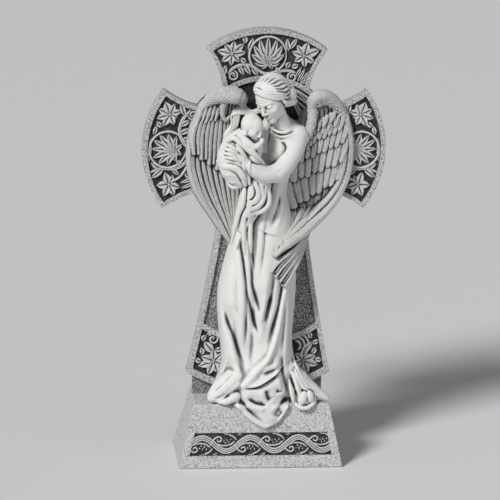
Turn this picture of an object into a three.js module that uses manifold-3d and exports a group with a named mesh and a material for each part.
import * as THREE from "three";
import { mergeVertices } from "three/addons/utils/BufferGeometryUtils.js";
import Module from "manifold-3d";

// Sizes in millimetres: X to the viewer's right, Y to the back, Z up.
// The origin is at the middle of the underside.
const CROSS_Z = 340.5; // height of the cross's centre
const ARM_REACH = 129.5; // centre to the crown of an arm's end arc
const ARM_END_R = 104.7; // radius of an arm's end arc
const ARM_END_AT = 107.5; // distance along an arm of its two corners
const ARM_WAIST = 45; // half width of an arm where it leaves the ring
const ARM_FLARE = 0.00762; // growth of the half width with the square of the distance
const ARM_FLARE_FROM = 58;
const RING_R = 79.5; // outside radius of the ring
const STRIP = 5; // width of the plain frame strips
const CROSS_FRONT = 5; // how far the cross's face stands in front of Y = 0
const CROSS_BACK = 12;
const RECESS = 3.2; // depth of the sunk panels
const CHAMFER = 1.2;
const SHAFT_SLOPE = 0.1348; // growth of the shaft's half width going down
const SHAFT_CURVE = 0.000241;
const FOOT_CORNER_Z = 95.3; // height of the shaft's lower corners
const FOOT_ARC_R = 145; // radius of the shaft's lower edge
const LOWER_PANEL_Z = 150.2; // height of the lower panel's upper strip at the frame
const LOWER_PANEL_R = 105;
const NECK_HALF = 70; // block between cross and plinth
const NECK_FRONT = -1.7;
const PLINTH_H = 69.7;
const PLINTH_BOTTOM = { half: 88.5, taper: 2.7, front: 47.3, back: 47.3 };
const PLINTH_TOP = { half: 73, taper: 4.8, front: 39.4, back: 37.6 };
const BAND_LOW = 13.5; // scroll band on the plinth's front
const BAND_HIGH = 38.6;
const BAND_MARGIN = 8.5;
const BAND_RECESS = 1.6;
const WAVE_PERIOD = 51.9;
const WAVE_CREST = -11.4;
const WAVE_RISE = 7.4;
const FOLD_GAIN = 1.35; // how much deeper than drawn the folds of the gown are cut

const wasm = await Module();
wasm.setup();

// Turns a closed geometry into a solid, whichever way its faces were wound.
function solidOf(geometry) {
  const bare = geometry.clone();
  bare.deleteAttribute("normal");
  bare.deleteAttribute("uv");
  const merged = mergeVertices(bare, 1e-4);
  const pos = merged.attributes.position.array;
  const from = merged.index.array;
  const tri = [];
  let volume = 0;
  for (let i = 0; i < from.length; i += 3) {
    const [a, b, c] = [from[i], from[i + 1], from[i + 2]];
    if (a === b || b === c || c === a) continue;
    tri.push(a, b, c);
    const [A, B, C] = [a, b, c].map((k) => new THREE.Vector3().fromArray(pos, 3 * k));
    volume += A.dot(B.cross(C));
  }
  if (volume < 0) {
    for (let i = 0; i < tri.length; i += 3) {
      [tri[i + 1], tri[i + 2]] = [tri[i + 2], tri[i + 1]];
    }
  }
  const mesh = new wasm.Mesh({
    numProp: 3,
    vertProperties: pos,
    triVerts: new Uint32Array(tri),
  });
  return new wasm.Manifold(mesh);
}

const join = (solids) => wasm.Manifold.union(solids);

// A closed body skinned over rings of equal count, its ends closed to their middles.
function skin(rings) {
  const n = rings[0].length;
  const pos = [];
  const index = [];
  for (const ring of rings) {
    for (const p of ring) pos.push(p.x, p.y, p.z);
  }
  for (let i = 0; i + 1 < rings.length; i++) {
    for (let j = 0; j < n; j++) {
      const k = (j + 1) % n;
      const [a, b] = [i * n + j, i * n + k];
      index.push(a, b, b + n, a, b + n, a + n);
    }
  }
  [0, rings.length - 1].forEach((end) => {
    const mid = new THREE.Vector3();
    rings[end].forEach((p) => mid.addScaledVector(p, 1 / n));
    const m = pos.length / 3;
    pos.push(mid.x, mid.y, mid.z);
    for (let j = 0; j < n; j++) {
      const [a, b] = [end * n + j, end * n + ((j + 1) % n)];
      index.push(...(end ? [a, b, m] : [b, a, m]));
    }
  });
  const geometry = new THREE.BufferGeometry();
  geometry.setAttribute("position", new THREE.Float32BufferAttribute(pos, 3));
  geometry.setIndex(index);
  return geometry;
}

const V = (x, y, z) => new THREE.Vector3(x, y, z);

// Evenly interpolates a short list of numbers at t from 0 to 1.
function along(list, t) {
  const s = Math.min(Math.max(t, 0), 1) * (list.length - 1);
  const i = Math.min(Math.floor(s), list.length - 2);
  return list[i] + (list[i + 1] - list[i]) * (s - i);
}

const curveOf = (points) => new THREE.CatmullRomCurve3(points.map((p) => V(...p)), false, "centripetal");

// A round limb, lock or roll along a smooth path of [x, y, z], its radius given along it.
function limb(points, radii, sides = 8, steps = 6, flat = 1) {
  const curve = curveOf(points);
  const rings = [];
  for (let i = 0; i <= steps; i++) {
    const t = i / steps;
    const p = curve.getPoint(t);
    const tangent = curve.getTangent(t);
    const side = V(0, -1, 0).cross(tangent);
    if (side.length() < 1e-3) side.set(1, 0, 0);
    side.normalize();
    const out = tangent.clone().cross(side).normalize();
    const r = along(radii, t);
    const ring = [];
    for (let j = 0; j < sides; j++) {
      const a = (2 * Math.PI * j) / sides;
      const point = p.clone().addScaledVector(side, r * Math.cos(a));
      ring.push(point.addScaledVector(out, flat * r * Math.sin(a)));
    }
    rings.push(ring);
  }
  return solidOf(skin(rings));
}

// An egg-shaped mass with three radii, turned by Euler angles in degrees.
function egg(centre, radii, turn = [0, 0, 0], around = 12, rows = 8) {
  const geometry = new THREE.SphereGeometry(1, around, rows);
  geometry.scale(...radii);
  const [x, y, z] = turn.map(THREE.MathUtils.degToRad);
  geometry.applyMatrix4(new THREE.Matrix4().makeRotationFromEuler(new THREE.Euler(x, y, z)));
  geometry.translate(...centre);
  return solidOf(geometry);
}

// A feather: a lens-shaped blade along a path of [x, y, z], ridged along its middle.
function feather(points, half, rise, steps = 5, under = 3) {
  const curve = curveOf(points);
  const rings = [];
  for (let i = 0; i <= steps; i++) {
    const t = i / steps;
    const p = curve.getPoint(t);
    const tangent = curve.getTangent(t);
    const side = V(0, -1, 0).cross(tangent).normalize();
    const w = along(half, t);
    rings.push([
      p.clone().addScaledVector(side, w),
      p.clone().add(V(0, -rise * Math.min(1, w / 2), 0)),
      p.clone().addScaledVector(side, -w),
      p.clone().add(V(0, under, 0)),
    ]);
  }
  return solidOf(skin(rings));
}

// Carving on a flat ground, drawn in the ground's own plane: u across, v up, w outward.
const GROUND = CROSS_FRONT - RECESS;

// A pointed leaf from root to tip, wide at its middle, with a raised midrib.
function leaf(root, tip, wide, rise = 3.1, base = GROUND) {
  const [ux, uy] = [tip[0] - root[0], tip[1] - root[1]];
  const long = Math.hypot(ux, uy);
  const [nx, ny] = [-uy / long, ux / long];
  const at = (t, s, w) => V(root[0] + ux * t + nx * s * wide, root[1] + uy * t + ny * s * wide, w);
  const low = base - 0.6;
  const high = base + rise;
  const foot = [at(0, 0, low), at(0.45, 0.78, low), at(1.06, 0, low), at(0.45, -0.78, low)];
  const pos = [...foot, at(0.4, 0, high), at(0.8, 0, high)].flatMap((p) => [p.x, p.y, p.z]);
  const index = [0, 2, 1, 0, 3, 2, 0, 1, 4, 1, 2, 5, 1, 5, 4, 2, 3, 5, 3, 0, 4, 3, 4, 5];
  const geometry = new THREE.BufferGeometry();
  geometry.setAttribute("position", new THREE.Float32BufferAttribute(pos, 3));
  geometry.setIndex(index);
  return solidOf(geometry);
}

// A stem: a ridged strip along a smooth path of [u, v].
function stem(points, wide = 3, rise = 2.6, steps = 5, base = GROUND, closed = false) {
  const path = points.map(([u, v]) => V(u, v, 0));
  const curve = new THREE.CatmullRomCurve3(path, closed, "centripetal");
  const rings = [];
  const count = closed ? steps : steps + 1;
  for (let i = 0; i < count; i++) {
    const t = i / steps;
    const p = curve.getPoint(t);
    const g = curve.getTangent(t);
    const w = (wide / 2) * (closed ? 1 : Math.min(1, 0.45 + 4 * Math.min(t, 1 - t)));
    rings.push([
      V(p.x - g.y * w, p.y + g.x * w, base - 0.5),
      V(p.x, p.y, base + rise),
      V(p.x + g.y * w, p.y - g.x * w, base - 0.5),
    ]);
  }
  if (!closed) return solidOf(skin(rings));
  const pos = rings.flat().flatMap((p) => [p.x, p.y, p.z]);
  const index = [];
  for (let i = 0; i < steps; i++) {
    for (let j = 0; j < 3; j++) {
      const [a, b] = [i * 3 + j, i * 3 + ((j + 1) % 3)];
      const [c, d] = [((i + 1) % steps) * 3 + j, ((i + 1) % steps) * 3 + ((j + 1) % 3)];
      index.push(a, b, d, a, d, c);
    }
  }
  const geometry = new THREE.BufferGeometry();
  geometry.setAttribute("position", new THREE.Float32BufferAttribute(pos, 3));
  geometry.setIndex(index);
  return solidOf(geometry);
}

// The points of a circle or of a spiral that winds inwards.
function spiral(centre, outer, inner, fromDeg, turns, count) {
  const points = [];
  for (let i = 0; i <= count; i++) {
    const t = i / count;
    const a = THREE.MathUtils.degToRad(fromDeg + 360 * turns * t);
    const r = outer + (inner - outer) * t;
    points.push([centre[0] + r * Math.cos(a), centre[1] + r * Math.sin(a)]);
  }
  return points;
}

function roundel(centre, r, steps = 10) {
  const ring = spiral(centre, r, r, 0, (steps - 1) / steps, steps - 1);
  return stem(ring, 2.8, 2.6, steps, GROUND, true);
}

function volute(centre, r, from, turns = 1.1) {
  return stem(spiral(centre, r, 1.8, from, turns, 5), 2.4, 2.2, 5);
}

// A flower: pointed petals that fan out from its heart.
function flower(centre, petals) {
  return petals.map(([u, v, wide = 6.5]) => {
    const [du, dv] = [u - centre[0], v - centre[1]];
    return leaf([centre[0] + du * 0.12, centre[1] + dv * 0.12], [u, v], wide);
  });
}

// A palmette: leaves that fan out from one root to the tips given.
const palmette = (root, tips) => tips.map(([u, v, wide = 5.5]) => leaf(root, [u, v], wide));

const toFront = (geometry) => geometry.rotateX(Math.PI / 2);

function shapeOf(points) {
  return new THREE.Shape(points.map(([u, v]) => new THREE.Vector2(u, v)));
}

function slab(points, back, front, chamfer = 0) {
  const geometry = new THREE.ExtrudeGeometry(shapeOf(points), {
    depth: front - back - 2 * chamfer,
    bevelEnabled: chamfer > 0,
    bevelThickness: chamfer,
    bevelSize: chamfer,
    bevelOffset: -chamfer,
    bevelSegments: 1,
    curveSegments: 8,
  });
  geometry.translate(0, 0, back + chamfer);
  return solidOf(toFront(geometry));
}

const armHalf = (t) => ARM_WAIST + ARM_FLARE * (t - ARM_FLARE_FROM) ** 2;
const shaftHalf = (d) => ARM_WAIST + SHAFT_SLOPE * (d - 65) + SHAFT_CURVE * (d - 65) ** 2;
const steps = (from, to, n) => Array.from({ length: n + 1 }, (_, i) => from + ((to - from) * i) / n);

function polar(r, deg) {
  const a = THREE.MathUtils.degToRad(deg);
  return [r * Math.sin(a), r * Math.cos(a)];
}

// One arm pointing up, from its left root to its right root, about the cross's centre.
function armEdge(inset, start) {
  const radius = ARM_END_R - inset;
  const centre = ARM_REACH - ARM_END_R;
  let end = ARM_END_AT;
  for (let i = 0; i < 20; i++) end = centre + Math.sqrt(radius ** 2 - (armHalf(end) - inset) ** 2);
  const side = steps(start, end, 4).map((t) => [armHalf(t) - inset, t]);
  const reach = THREE.MathUtils.radToDeg(Math.asin(side[4][0] / radius));
  const inside = steps(-reach, reach, 8).slice(1, -1);
  const arc = inside.map((a) => polar(radius, a)).map(([u, v]) => [u, centre + v]);
  return [...side.map(([h, t]) => [-h, t]), ...arc, ...side.reverse()];
}

const turned = (points, quarter) => points.map(([u, v]) => [[u, v], [v, -u], [-u, -v], [-v, u]][quarter]);
const lifted = (points) => points.map(([u, v]) => [u, v + CROSS_Z]);
const ringMeet = (inset, r) => {
  let t = r * 0.8;
  for (let i = 0; i < 30; i++) t = Math.sqrt(r ** 2 - (armHalf(t) - inset) ** 2);
  return t;
};

// Points of an arc that sags below its corners, from x = -half to x = half.
function sag(half, cornerZ, radius, n) {
  const centre = cornerZ + Math.sqrt(radius ** 2 - half ** 2);
  return steps(-half, half, n).map((x) => [x, centre - Math.sqrt(radius ** 2 - x ** 2)]);
}

function crossOutline() {
  const meet = ringMeet(0, RING_R);
  const at = THREE.MathUtils.radToDeg(Math.atan2(armHalf(meet), meet));
  const between = (from) => steps(from + at, from + 90 - at, 3).slice(1, -1);
  const bend = (from) => between(from).map((a) => polar(RING_R, a));
  const arm = armEdge(0, meet);
  const foot = FOOT_CORNER_Z - CROSS_Z;
  const down = steps(meet, -foot, 5).map((d) => [shaftHalf(d), -d]);
  const sole = sag(down[5][0], foot, FOOT_ARC_R, 8).reverse().slice(1, -1);
  const up = down.map(([u, v]) => [-u, v]).reverse();
  return lifted([
    ...turned(arm, 3), ...bend(270), ...arm, ...bend(0), ...turned(arm, 1), ...bend(90),
    ...down, ...sole, ...up, ...bend(180),
  ]);
}

function armPanel(quarter) {
  const meet = ringMeet(STRIP, RING_R);
  const edge = armEdge(STRIP, meet);
  const a = THREE.MathUtils.radToDeg(Math.atan2(armHalf(meet) - STRIP, meet));
  const inner = steps(a, -a, 6).slice(1, -1).map((b) => polar(RING_R, b));
  return slab(lifted(turned([...edge, ...inner], quarter)), GROUND, CROSS_FRONT + 2);
}

function shaftPanels() {
  const half = (z) => shaftHalf(CROSS_Z - z) - STRIP;
  const low = half(LOWER_PANEL_Z);
  const lowArc = sag(low, LOWER_PANEL_Z, LOWER_PANEL_R, 6);
  const highArc = sag(half(262), 262, RING_R, 4);
  const field = [...highArc, [half(210), 210], ...[...lowArc].reverse(), [-half(210), 210]];
  const top = sag(half(LOWER_PANEL_Z - 6.5), LOWER_PANEL_Z - 6.5, LOWER_PANEL_R + 6, 6);
  const cornerZ = FOOT_CORNER_Z + STRIP * 0.9;
  const sole = sag(half(cornerZ), cornerZ, FOOT_ARC_R - STRIP, 6).reverse();
  return [field, [...top, ...sole]].map((p) => slab(p, GROUND, CROSS_FRONT + 2));
}

// Leafwork of the left arm, drawn at its place; the right arm has its mirror image.
function sideArmCarving() {
  return [
    ...flower([-101.6, 378.8], [
      [-106.5, 390.5, 8], [-94, 387, 7], [-91, 374, 7], [-104, 366, 7], [-114.5, 374, 7],
    ]),
    volute([-77.3, 377.7], 5.3, 190),
    stem([[-82.7, 380], [-89.7, 367], [-90.6, 356.2], [-80, 342]], 2.6),
    leaf([-90, 364], [-80, 369.5], 4.5),
    roundel([-103, 340], 18.8),
    ...palmette([-94.5, 340], [
      [-119, 346.5], [-119.5, 334.6], [-112, 353, 6.5], [-101.5, 355.5, 6.5], [-110, 326.5, 6.5],
    ]),
    stem([[-121.5, 316.2], [-108.8, 320.4], [-91.9, 321.6], [-81.6, 331.3], [-80, 345.4]], 2.6),
    stem([[-100, 306], [-89.5, 311.8], [-80.4, 329.1]], 2.2),
    ...flower([-101, 302.5], [[-105.5, 314.5, 7], [-113.2, 301, 7], [-103, 291, 7], [-90.3, 296.5, 7]]),
    volute([-78.5, 313.9], 5.3, 170),
    leaf([-77, 308], [-88.4, 304.3], 3.5),
    leaf([-109, 318], [-118.8, 309], 4.5),
  ];
}

function topArmCarving() {
  return [
    ...flower([-37.7, 443.2], [
      [-51.5, 446.4], [-41.1, 454.7], [-25.3, 450.5, 7], [-46.5, 436.3], [-34, 431.5, 6],
    ]),
    roundel([0.4, 441.5], 18.5),
    ...palmette([0.6, 433.5], [
      [-12, 449.9, 6], [-3, 457.6, 6], [8.5, 455.4, 6.5], [14.2, 442]
    ]),
    ...flower([38.7, 441.3], [
      [42.5, 454.8, 7.5], [53.5, 446.3, 7.5], [28.4, 447.7, 7], [30.5, 435, 6], [45, 431.2, 7],
    ]),
    volute([-36, 419.7], 5.2, 80),
    stem([[-40.3, 423], [-31.9, 429.5], [-18.3, 430.6], [-5.4, 422.5]], 2.6),
    leaf([-30, 428], [-22, 420], 4.5),
    leaf([-20, 429.5], [-12, 421.5], 4.5),
    volute([27.7, 418.8], 5.2, 100),
    stem([[-4.4, 422.5], [8.5, 423.4], [20.2, 427.4], [31.6, 426]], 2.6),
    leaf([33, 418], [43, 425.5], 4),
  ];
}

// Leafwork of the lower panel's left end, up to where the gown hides it.
function lowerCarving() {
  return [
    volute([-49.9, 131.8], 5.5, 150),
    stem([[-57, 139], [-46, 138], [-38.5, 130], [-36, 119]], 2.4),
    leaf([-49, 119], [-60, 126], 6.5),
    ...flower([-48.2, 107.5], [[-49, 119.5, 6], [-60.5, 110.5, 7], [-62.3, 100, 7], [-49, 93.5, 6.5]]),
    stem([[-48, 106], [-38, 92], [-28, 88]], 2.4),
  ];
}

function cross() {
  const body = slab(crossOutline(), -CROSS_BACK, CROSS_FRONT);
  const pockets = [armPanel(0), armPanel(1), armPanel(3), ...shaftPanels()];
  const hollow = steps(-50, 62, 8).map((a) => polar(RING_R - STRIP, a));
  const ringInside = slab(lifted([...hollow, [56, -10], [-50, -10]]), GROUND, CROSS_FRONT + 2);
  const half = [...sideArmCarving(), ...lowerCarving()];
  const other = half.map((solid) => solid.mirror([1, 0, 0]));
  const carving = join([...half, ...other, ...topArmCarving()]).rotate([90, 0, 0]);
  const block = [[-NECK_HALF, 60], [NECK_HALF, 60], [NECK_HALF, 112], [-NECK_HALF, 112]];
  const neck = slab(block, -CROSS_BACK + 1, NECK_FRONT, 1);
  const whole = body.subtract(join([...pockets, ringInside]));
  return join([whole, carving, neck]);
}

function plinth() {
  const level = (k, z, cut) => {
    const mix = (key) => PLINTH_BOTTOM[key] + (PLINTH_TOP[key] - PLINTH_BOTTOM[key]) * k;
    const [half, back, front] = [mix("half") - cut, mix("back") - cut, mix("front") - cut];
    const rear = half - mix("taper");
    const c = 1.6;
    return [
      V(-half + c, -front, z), V(half - c, -front, z), V(half, -front + c, z), V(rear, back - c, z),
      V(rear - c, back, z), V(-rear + c, back, z), V(-rear, back - c, z), V(-half, -front + c, z),
    ];
  };
  const c = CHAMFER;
  const block = solidOf(skin([
    level(0, 0, c), level(c / PLINTH_H, c, 0),
    level(1 - c / PLINTH_H, PLINTH_H - c, 0), level(1, PLINTH_H, c),
  ]));
  const lean = Math.atan2(PLINTH_BOTTOM.front - PLINTH_TOP.front, PLINTH_H);
  const tip = 90 - THREE.MathUtils.radToDeg(lean);
  const place = (solid) => solid.rotate([tip, 0, 0]).translate([0, -PLINTH_BOTTOM.front, 0]);
  const narrowing = (PLINTH_BOTTOM.half - PLINTH_TOP.half) / PLINTH_H;
  const half = (v) => PLINTH_BOTTOM.half - narrowing * v - BAND_MARGIN;
  const [low, high] = [half(BAND_LOW), half(BAND_HIGH)];
  const frame = [[-low, BAND_LOW], [low, BAND_LOW], [high, BAND_HIGH], [-high, BAND_HIGH]];
  const sunk = new THREE.ExtrudeGeometry(shapeOf(frame), { depth: 5, bevelEnabled: false });
  sunk.translate(0, 0, -BAND_RECESS);
  const base = -BAND_RECESS;
  const middle = (BAND_LOW + BAND_HIGH) / 2;
  const turns = (u) => (2 * Math.PI * (u - WAVE_CREST)) / WAVE_PERIOD;
  const wave = (u) => middle + WAVE_RISE * Math.cos(turns(u));
  const line = (from, to, off, n) => steps(from, to, n).map((u) => [u, wave(u) + off]);
  const work = [
    stem(line(-73, 73, 0, 17), 4.4, 1.6, 17, base),
  ];
  for (let k = -3; k <= 2; k++) {
    const crest = k % 2 === 0;
    const u = WAVE_CREST + (k * WAVE_PERIOD) / 2;
    if (Math.abs(u) > 68) continue;
    const sign = crest ? -1 : 1;
    const v = middle + sign * 2.6;
    work.push(leaf([u - 7, v - sign], [u + 7, v + sign * 1.5], 6, 1.8, base));
    const curl = spiral([u - 11.5, middle + sign * 6.6], 3.4, 1.2, sign * 60, sign * 0.8, 4);
    work.push(stem(curl, 2.4, 1.7, 4, base));
  }
  return join([block.subtract(place(solidOf(sunk))), place(join(work))]);
}

// The gown: heights with its left and right outline and its front.
const GOWN = [
  [46, -2, 6, 46.5], [51, -10, 15, 48.5], [58, -18, 22, 49.5], [65, -25, 27, 50],
  [72, -36, 31, 50], [79, -50, 37, 50], [88, -47, 43, 50], [98, -42.7, 41, 49],
  [110, -40.5, 38.6, 47.5], [124, -41.3, 35.5, 46.3], [139, -43.4, 34.4, 46], [155, -45.2, 35, 46],
  [172, -46.5, 36, 46], [190, -46.1, 36.7, 46], [208, -43, 36.5, 46], [226, -38.8, 36, 46],
  [244, -34.2, 34.7, 45.8], [262, -30, 32, 45], [280, -25.2, 27.3, 43], [297, -18.6, 23.6, 41],
  [316, -11, 26.2, 40], [334, -5, 31.5, 42.5], [349, -4, 37.8, 43], [360, -2.5, 41, 40],
  [368, 2, 40, 35], [374, 8, 28, 30],
];

// Folds of the gown as paths of [x, z]; a positive depth is a groove, a negative one a ridge.
const FOLDS = [
  {
    depth: 3.6, wide: 2.6,
    path: [
      [-27.8, 290], [-26.8, 252], [-24.1, 232], [-21.5, 214], [-19.7, 186], [-20.6, 142], [-17.6, 110],
    ],
  },
  { depth: 2.2, wide: 2.2, path: [[-22.2, 278], [-20.6, 257], [-16.9, 239], [-13.4, 228], [-9, 200]] },
  { depth: 2, wide: 2, path: [[-15.7, 272], [-15.1, 252], [-15.7, 236], [-12, 215]] },
  { depth: 1.6, wide: 2, path: [[2.2, 276], [-1.6, 260], [-4.2, 241], [-4.6, 219], [-6.3, 203]] },
  { depth: 3.4, wide: 3, path: [[-43.1, 181], [-35, 159], [-25.7, 132], [-18.7, 110]] },
  { depth: 4, wide: 4.2, path: [[-17.7, 187], [-10.6, 165], [-5.9, 148], [-3.3, 134]] },
  { depth: 2.6, wide: 3, path: [[-8.3, 200], [-3.3, 167], [-0.9, 152]] },
  { depth: 3.6, wide: 3.4, path: [[24, 228], [21.7, 200], [15.9, 175], [10.3, 148], [5.3, 134]] },
  {
    depth: -3.6, wide: 4,
    path: [[24, 192], [20.2, 159], [13.4, 137], [-0.9, 117], [-12.2, 101], [-23.5, 91]],
  },
  { depth: -2.4, wide: 4, path: [[-31, 190], [-29, 160], [-21, 120]] },
  { depth: 3, wide: 3, path: [[28, 180], [25, 150], [24, 128], [14, 112], [0, 103]] },
  { depth: 2.4, wide: 2.6, path: [[34, 125], [30, 110], [29, 92], [31, 80]] },
  { depth: -2.6, wide: 3, path: [[-23, 91], [-9, 93.5], [4.6, 100], [17, 111], [25.5, 117]] },
  { depth: 4.2, wide: 3, path: [[-20, 86], [-8, 88], [6, 93], [18, 102], [26, 108]] },
  { depth: 2.4, wide: 2.6, path: [[-18, 78], [-4, 69], [3, 70]] },
  { depth: 2.6, wide: 3, path: [[-42, 118], [-38, 100], [-28, 84], [-16, 68]] },
  {
    depth: -2.4, wide: 2.6,
    path: [[-33, 74], [-24, 65], [-10, 54], [2, 49], [14, 52], [24, 61], [30, 74]],
  },
];

function foldAt(x, z) {
  let total = 0;
  for (const { depth, wide, path } of FOLDS) {
    let near = 1e9;
    for (let i = 0; i + 1 < path.length; i++) {
      const [[x0, z0], [x1, z1]] = [path[i], path[i + 1]];
      const [dx, dz] = [x1 - x0, z1 - z0];
      const t = Math.min(Math.max(((x - x0) * dx + (z - z0) * dz) / (dx * dx + dz * dz), 0), 1);
      near = Math.min(near, Math.hypot(x - x0 - dx * t, z - z0 - dz * t));
    }
    total += depth * Math.exp(-((near / wide) ** 2));
  }
  return total;
}

// Where the gown's lengthwise lines run at each height, so that they follow its folds.
const LINES = [
  [46, -3, -2.4, -1.6, -0.8, 0, 1, 2, 3, 4, 5, 6],
  [58, -15, -12, -9, -5, -1, 3, 7, 11, 15, 18, 20],
  [72, -31, -27, -22, -16, -10, -4, 3, 10, 17, 23, 28],
  [79, -42, -35, -27, -19, -11, -4, 4, 12, 19, 26, 32],
  [88, -38, -31, -27, -20, -12, -6, 2, 10, 18, 27, 35],
  [98, -38, -30, -22, -15, -9, -4, 3, 9, 15, 24, 33],
  [110, -31, -18, -14, -10, -6, 0, 6, 11, 17, 24, 32],
  [124, -24, -21.5, -18.8, -14, -9, -4.5, 0, 5, 10, 16, 26],
  [148, -31, -26, -20.6, -13, -5.9, -3.2, -0.9, 4.5, 10.3, 17.2, 26],
  [172, -39.5, -31, -20, -16.3, -12.7, -8.5, -4.5, 4, 15.2, 21.6, 28],
  [200, -33, -26, -20.5, -15, -9.4, -6.3, 0, 8, 17, 21.7, 29],
  [232, -31, -24.1, -20, -15.4, -10, -4.4, 4, 13, 21, 25, 31],
  [262, -26.8, -24, -20.6, -18, -15.4, -9, -1.6, 6, 14, 21, 27],
  [290, -20, -16, -12, -8, -4, 0, 4, 8, 12, 16, 20],
  [350, 0, 4, 8, 12, 16, 19, 22, 25, 28, 31, 34],
  [374, 9, 11, 13, 15, 17, 19, 21, 23, 25, 26, 27],
];

function linesAt(z, left, right) {
  let i = 0;
  while (i < LINES.length - 2 && z > LINES[i + 1][0]) i++;
  const k = Math.min(Math.max((z - LINES[i][0]) / (LINES[i + 1][0] - LINES[i][0]), 0), 1);
  const inner = LINES[i].slice(1).map((x, j) => x + (LINES[i + 1][j + 1] - x) * k);
  const kept = inner.map((x, j) => {
    const low = left + (right - left) * 0.02 * (j + 2);
    const high = right - (right - left) * 0.02 * (inner.length - j + 1);
    return Math.min(Math.max(x, low), high);
  });
  const edge = [left, left + (kept[0] - left) * 0.3];
  return [...edge, ...kept, right - (right - kept[kept.length - 1]) * 0.3, right];
}

function gown() {
  const rings = GOWN.map(([z, left, right, front]) => {
    const [cx, half] = [(left + right) / 2, (right - left) / 2];
    const back = z < PLINTH_H ? 36 : 8;
    const ring = linesAt(z, left, right).map((x) => {
      const u = (x - cx) / half;
      const bulge = Math.max(0, 1 - u * u) ** 0.38;
      const fold = FOLD_GAIN * foldAt(x, z) * Math.min(1, 2 * bulge);
      return V(x, -(back + (front - back) * bulge) + fold, z);
    });
    const rear = z < PLINTH_H ? -30 : -0.5;
    ring.push(V(right - 1, rear, z), V(left + 1, rear, z));
    return ring;
  });
  return solidOf(skin(rings));
}

function train() {
  return [
    limb([[-30, -32, 94], [-43, -33, 84], [-54, -34, 78]], [14, 12.5, 7], 7, 2),
    limb([[26, -26, 112], [36, -27, 97], [52, -28, 84], [72, -29, 73]], [12, 14, 10, 3.4], 7, 4),
    limb(
      [[34, -34, 96], [40, -40, 84], [36, -45, 72], [44, -45, 65.5], [53, -41, 69], [55, -38, 78]],
      [5, 5.5, 5, 4.5, 4.5, 3], 4, 6,
    ),
    egg([45.5, -38, 75], [8.5, 7, 8], [0, 0, 0], 7, 4),
  ];
}

function arms() {
  const fingers = [0, 1, 2, 3].map((i) => {
    const path = [[-35, -58, 337 + i * 3.8], [-44, -58, 342 + i * 3.4], [-50, -54, 344 + i * 3.6]];
    return limb(path, [2.6, 2.5, 1.6], 3, 2);
  });
  return [
    limb([[31, -26, 361], [25, -36, 345], [14, -46, 329], [4, -50, 323]], [11.5, 11, 10, 9.5], 8, 3),
    limb(
      [[8, -49, 324], [-6, -54, 324.5], [-19, -57, 332], [-30, -58, 341], [-37, -57, 345]],
      [9.8, 9.2, 7.6, 5.6, 5.4], 7, 5,
    ),
    ...fingers,
  ];
}

// Head in its own axes: X to the face's right, Y ahead of the face, Z up, then bowed and turned.
function head() {
  const pose = (solid) => solid.rotate([-27, 0, 0]).rotate([0, 8, 134]).translate([1, -37, 401]);
  const skull = new THREE.SphereGeometry(1, 10, 7);
  const p = skull.attributes.position;
  for (let i = 0; i < p.count; i++) {
    const [x, y, z] = [p.getX(i), p.getZ(i), p.getY(i)];
    const jaw = z < 0 ? 1 - 0.42 * z * z : 1;
    const chin = z < -0.4 && y > 0 ? 1 + 0.1 * (-z - 0.4) : 1;
    p.setXYZ(i, -x * 15.5 * jaw, y * 18 * chin * (z < 0 ? 1 - 0.2 * z * z : 1), z * 21.5);
  }
  const features = [
    limb([[0, 16.5, 5], [0, 19.6, 0], [0, 21, -4.8]], [1.2, 1.8, 2.8], 5, 2),
    egg([0, 16, -10], [4.2, 3.2, 2], [0, 0, 0], 6, 3),
    egg([0, 12.6, -16.6], [4.6, 4.4, 3.6], [0, 0, 0], 6, 4),
    egg([-6.2, 14, 1.4], [3.7, 2.6, 1.9], [0, 0, 18], 6, 3),
    egg([6.2, 14, 1.4], [3.7, 2.6, 1.9], [0, 0, -18], 6, 3),
  ];
  const cap = new THREE.SphereGeometry(1, 12, 7);
  const q = cap.attributes.position;
  for (let i = 0; i < q.count; i++) {
    const [x, y, z] = [q.getX(i), q.getZ(i), q.getY(i)];
    q.setXYZ(i, -x * 17.6, -4 + y * 19.5, 5 + z * 19.5);
  }
  const locks = [];
  for (const s of [-1, 1]) {
    const path = [[s * 1.5, 11, 18], [s * 11.5, 9, 11], [s * 16, -2, 1], [s * 11, -14, -6]];
    locks.push(limb(path, [2.4, 4, 4.6, 3], 5, 4));
  }
  const bun = egg([-9, -15, -6], [9.5, 8, 8.5], [0, 0, 0], 8, 5);
  return pose(join([solidOf(skull), ...features, solidOf(cap), ...locks, bun]));
}

function neck() {
  return [
    limb([[18, -26, 362], [13, -30, 374], [7, -34, 388]], [12, 9.2, 9], 9, 3),
    limb(
      [[0, -36, 376], [4, -42, 369], [15, -42, 366], [28, -36, 368], [36, -28, 371]],
      [1.6, 1.8, 1.8, 1.8, 1.4], 4, 5,
    ),
  ];
}

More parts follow.
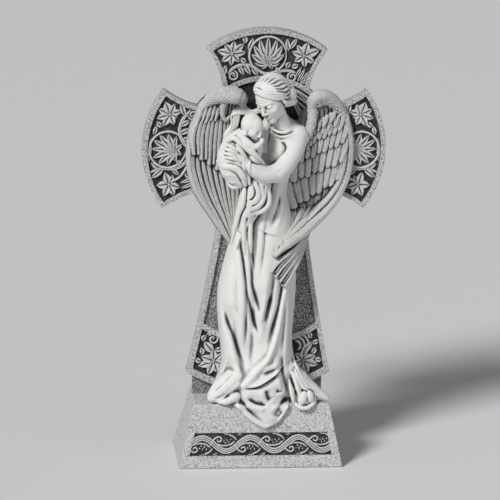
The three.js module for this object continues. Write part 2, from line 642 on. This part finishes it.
function baby() {
  const body = [
    egg([-21, -50, 377.5], [10.6, 11, 12.4], [0, 20, 0], 8, 6),
    egg([-15, -57, 372], [4.5, 4, 5], [0, 20, 0], 6, 4),
    egg([-29.4, -52, 379.5], [1.6, 3, 3.6], [0, 0, 0], 4, 3),
    limb(
      [[-31, -55, 367], [-25, -60, 360], [-19, -61, 354.5], [-14.5, -61, 361], [-13.4, -60, 370]],
      [4.8, 4.4, 3.8, 3.2, 2.6], 5, 5,
    ),
  ];
  const wrap = [
    limb([[-26, -48, 368], [-36, -46, 356], [-40, -45, 340], [-33, -46, 324]], [8, 14, 15.5, 11], 8, 4),
    egg([-26, -47, 336], [15, 13, 17], [0, 0, 0], 6, 4),
    limb([[-38, -52, 363], [-29, -61, 355], [-20, -60, 345], [-12, -54, 336]], [2.4, 3, 3, 2.4], 3, 3),
  ];
  for (const k of [0.1, 0.7]) {
    wrap.push(limb([
      [-53 + 2 * k, -44, 350 - 21 * k],
      [-42 + 3 * k, -58, 345 - 19 * k],
      [-27 + 3 * k, -60, 335 - 15 * k],
      [-16 + 4 * k, -55, 326 - 10 * k],
    ], [1.8, 3, 3, 1.8], 3, 3));
  }
  const hanging = [
    limb([[-14, -50, 322], [-16, -50, 305], [-21, -48, 291], [-25, -46, 276]], [14, 14, 11, 5], 6, 3, 0.75),
    limb(
      [[-6, -52, 318], [-1, -51, 303], [-5, -51, 291], [-17, -50, 284], [-25, -47, 277]],
      [2.8, 3.2, 3.2, 2.8, 2], 3, 5,
    ),
    limb([[-27, -50, 318], [-26, -52, 305], [-28, -48, 285], [-29, -44, 262]], [3.4, 3.6, 3, 2.2], 4, 3),
  ];
  return [...body, ...wrap, ...hanging];
}

function looseHair() {
  return [
    limb([[-20, -26, 392], [-30, -17, 389], [-39, -13, 389], [-41, -12, 382]], [2.6, 2.6, 2.4, 1.4], 4, 5),
    limb(
      [
        [-24, -26, 386], [-32, -16, 384], [-35, -12, 374], [-37, -12, 366],
        [-47, -11, 361], [-50, -11, 354], [-44, -11, 347],
      ],
      [2.8, 3, 3, 2.8, 2.6, 2.4, 1.4], 4, 8,
    ),
  ];
}

// A fan of feathers lying side by side. The two edges of the fan are paths of [x, z, out], out being
// how far the blades stand in front of Y = 0. Each blade is ridged and ends beyond the valleys beside it.
function fan(first, last, count, rise, n = 5, tip = 0.08, back = 0.5) {
  const curves = [first, last].map((list) => curveOf(list.map(([x, z, out]) => [x, -out, z])));
  const at = (k, t) => curves[0].getPoint(t).lerp(curves[1].getPoint(t), k);
  const rings = steps(0, 1, n).map((t) => {
    const ring = [];
    for (let i = 0; i <= 2 * count; i++) {
      const crest = i % 2 === 1;
      const p = at(i / (2 * count), t * (crest ? 1 : 1 - tip));
      if (crest) p.y -= rise * Math.min(1, 0.35 + 2 * t) * (t === 1 ? 0.25 : 1);
      ring.push(p);
    }
    for (const end of [ring[2 * count], ring[0]]) ring.push(V(end.x, -back, end.z));
    return ring;
  });
  return solidOf(skin(rings));
}

function leftWing() {
  return [
    fan(
      [[-73, 352, 6], [-79, 335, 7], [-75, 312, 8], [-67, 291, 8], [-50, 266, 8], [-35, 241, 8]],
      [[-28, 352, 8], [-26, 335, 9], [-24, 312, 10], [-24, 291, 10], [-26, 270, 10], [-30, 250, 9]],
      6, 4.6, 5, 0.06,
    ),
    fan(
      [[-58, 396, 9], [-69, 384, 10], [-76, 366, 11], [-78, 347, 12], [-75, 332, 12]],
      [[-42, 398, 11], [-46, 384, 12], [-48, 366, 13], [-49, 347, 14], [-47, 324, 14]],
      4, 4.6, 4, 0.1,
    ),
    fan(
      [[-47, 392, 10], [-48, 370, 11], [-47, 345, 12], [-44, 318, 13]],
      [[-28, 396, 11], [-30, 372, 11], [-28, 345, 12], [-26, 306, 13]],
      2, 4.4, 3, 0.14,
    ),
    feather(
      [
        [-62, -8, 392], [-74, -8, 374], [-80, -7, 345], [-79, -7, 322],
        [-69, -7, 293], [-51, -7, 266], [-34, -8, 239],
      ],
      [1.6, 3.2, 3.6, 3.6, 3.2, 2.6, 1.2], 5, 7, 4,
    ),
    limb(
      [[-68, -8, 386], [-59, -12, 397], [-47, -17, 402], [-36, -20, 402], [-28, -20, 398], [-27, -18, 391]],
      [3, 6.5, 8.5, 9, 7, 4], 7, 5,
    ),
    limb([[-44, -18, 400], [-45, -16, 388], [-43, -15, 380], [-39, -15, 381]], [5, 3.6, 2.8, 1.4], 4, 3),
  ];
}

function rightWing() {
  return [
    fan(
      [[36, 290, 12], [34, 274, 16], [29, 258, 30], [20, 246, 42], [9, 240, 49]],
      [[82, 316, 8], [75, 292, 12], [60, 274, 20], [42, 261, 34], [20, 248, 49]],
      2, 2.8, 3, 0.05,
    ),
    fan(
      [[23, 296, 10], [25, 284, 12], [30, 270, 15], [36, 262, 17]],
      [[84, 330, 8], [82, 312, 9], [76, 296, 11], [66, 283, 14]],
      4, 3, 1, 0.12,
    ),
    fan(
      [[25, 326, 12], [23, 312, 14], [22, 298, 16], [26, 283, 18]],
      [[83, 352, 8.5], [82, 338, 10], [79, 326, 11], [75, 313, 13]],
      5, 4, 2, 0.16,
    ),
    fan(
      [[34, 346, 13], [31, 336, 15], [28, 326, 17], [28, 313, 18]],
      [[84, 370, 8.5], [83, 356, 10], [81, 345, 12], [79, 333, 13]],
      5, 4, 2, 0.18,
    ),
    fan(
      [[42, 366, 14], [39, 356, 16], [36, 346, 18], [36, 334, 19]],
      [[80, 384, 9], [82, 374, 11], [81, 366, 12], [79, 356, 14]],
      4, 4, 2, 0.2,
    ),
    fan(
      [[43, 384, 15], [42, 372, 18], [40, 362, 20], [38, 350, 21]],
      [[76, 390, 10], [77, 384, 12], [77, 378, 13], [75, 368, 15]],
      4, 3.6, 1, 0.25,
    ),
    feather(
      [
        [79, -10, 384], [87, -10, 364], [89.5, -10, 340], [86, -11, 310], [76, -14, 291],
        [58, -25, 271], [38, -40, 257], [22, -51, 249], [8, -55, 237],
      ],
      [2.5, 4, 4.4, 4.4, 4.4, 4.6, 4.6, 4.4, 1.6], 5, 8, 6,
    ),
    fan(
      [[48, 262, 20], [34, 250, 34], [20, 234, 47], [7, 212, 50]],
      [[50, 250, 12], [42, 240, 26], [32, 222, 40], [20, 198, 48]],
      3, 3.6, 3, 0.14, 8,
    ),
    limb(
      [[45, -22, 391], [48, -25, 402], [57, -23, 404], [68, -18, 398], [80, -10, 381]],
      [4.5, 6.5, 7.5, 7, 4.5], 7, 5,
    ),
    limb([[44, -20, 398], [46, -18, 378], [42, -21, 360], [33, -20, 342]], [4, 5, 5, 3], 5, 3),
  ];
}

// The masses of the figure close over small gaps between them: the casting is solid there.
function filled(solid) {
  const shells = solid.decompose();
  return shells.reduce((best, shell) => (shell.volume() > best.volume() ? shell : best));
}

const figure = [gown(), ...train(), ...arms(), head(), ...neck(), ...baby(), ...looseHair()];
const statue = filled(join([cross(), plinth(), ...figure, ...leftWing(), ...rightWing()]));

function meshOf(solid, name, colour) {
  const made = solid.getMesh();
  const geometry = new THREE.BufferGeometry();
  geometry.setAttribute("position", new THREE.BufferAttribute(new Float32Array(made.vertProperties), 3));
  geometry.setIndex(new THREE.BufferAttribute(new Uint32Array(made.triVerts), 1));
  geometry.computeVertexNormals();
  const stone = new THREE.MeshStandardMaterial({ color: colour, roughness: 0.9, metalness: 0 });
  const mesh = new THREE.Mesh(geometry, stone);
  mesh.name = name;
  return mesh;
}

const group = new THREE.Group();
group.add(meshOf(statue, "angel_statue", 0xb9b9b6));

export default group;
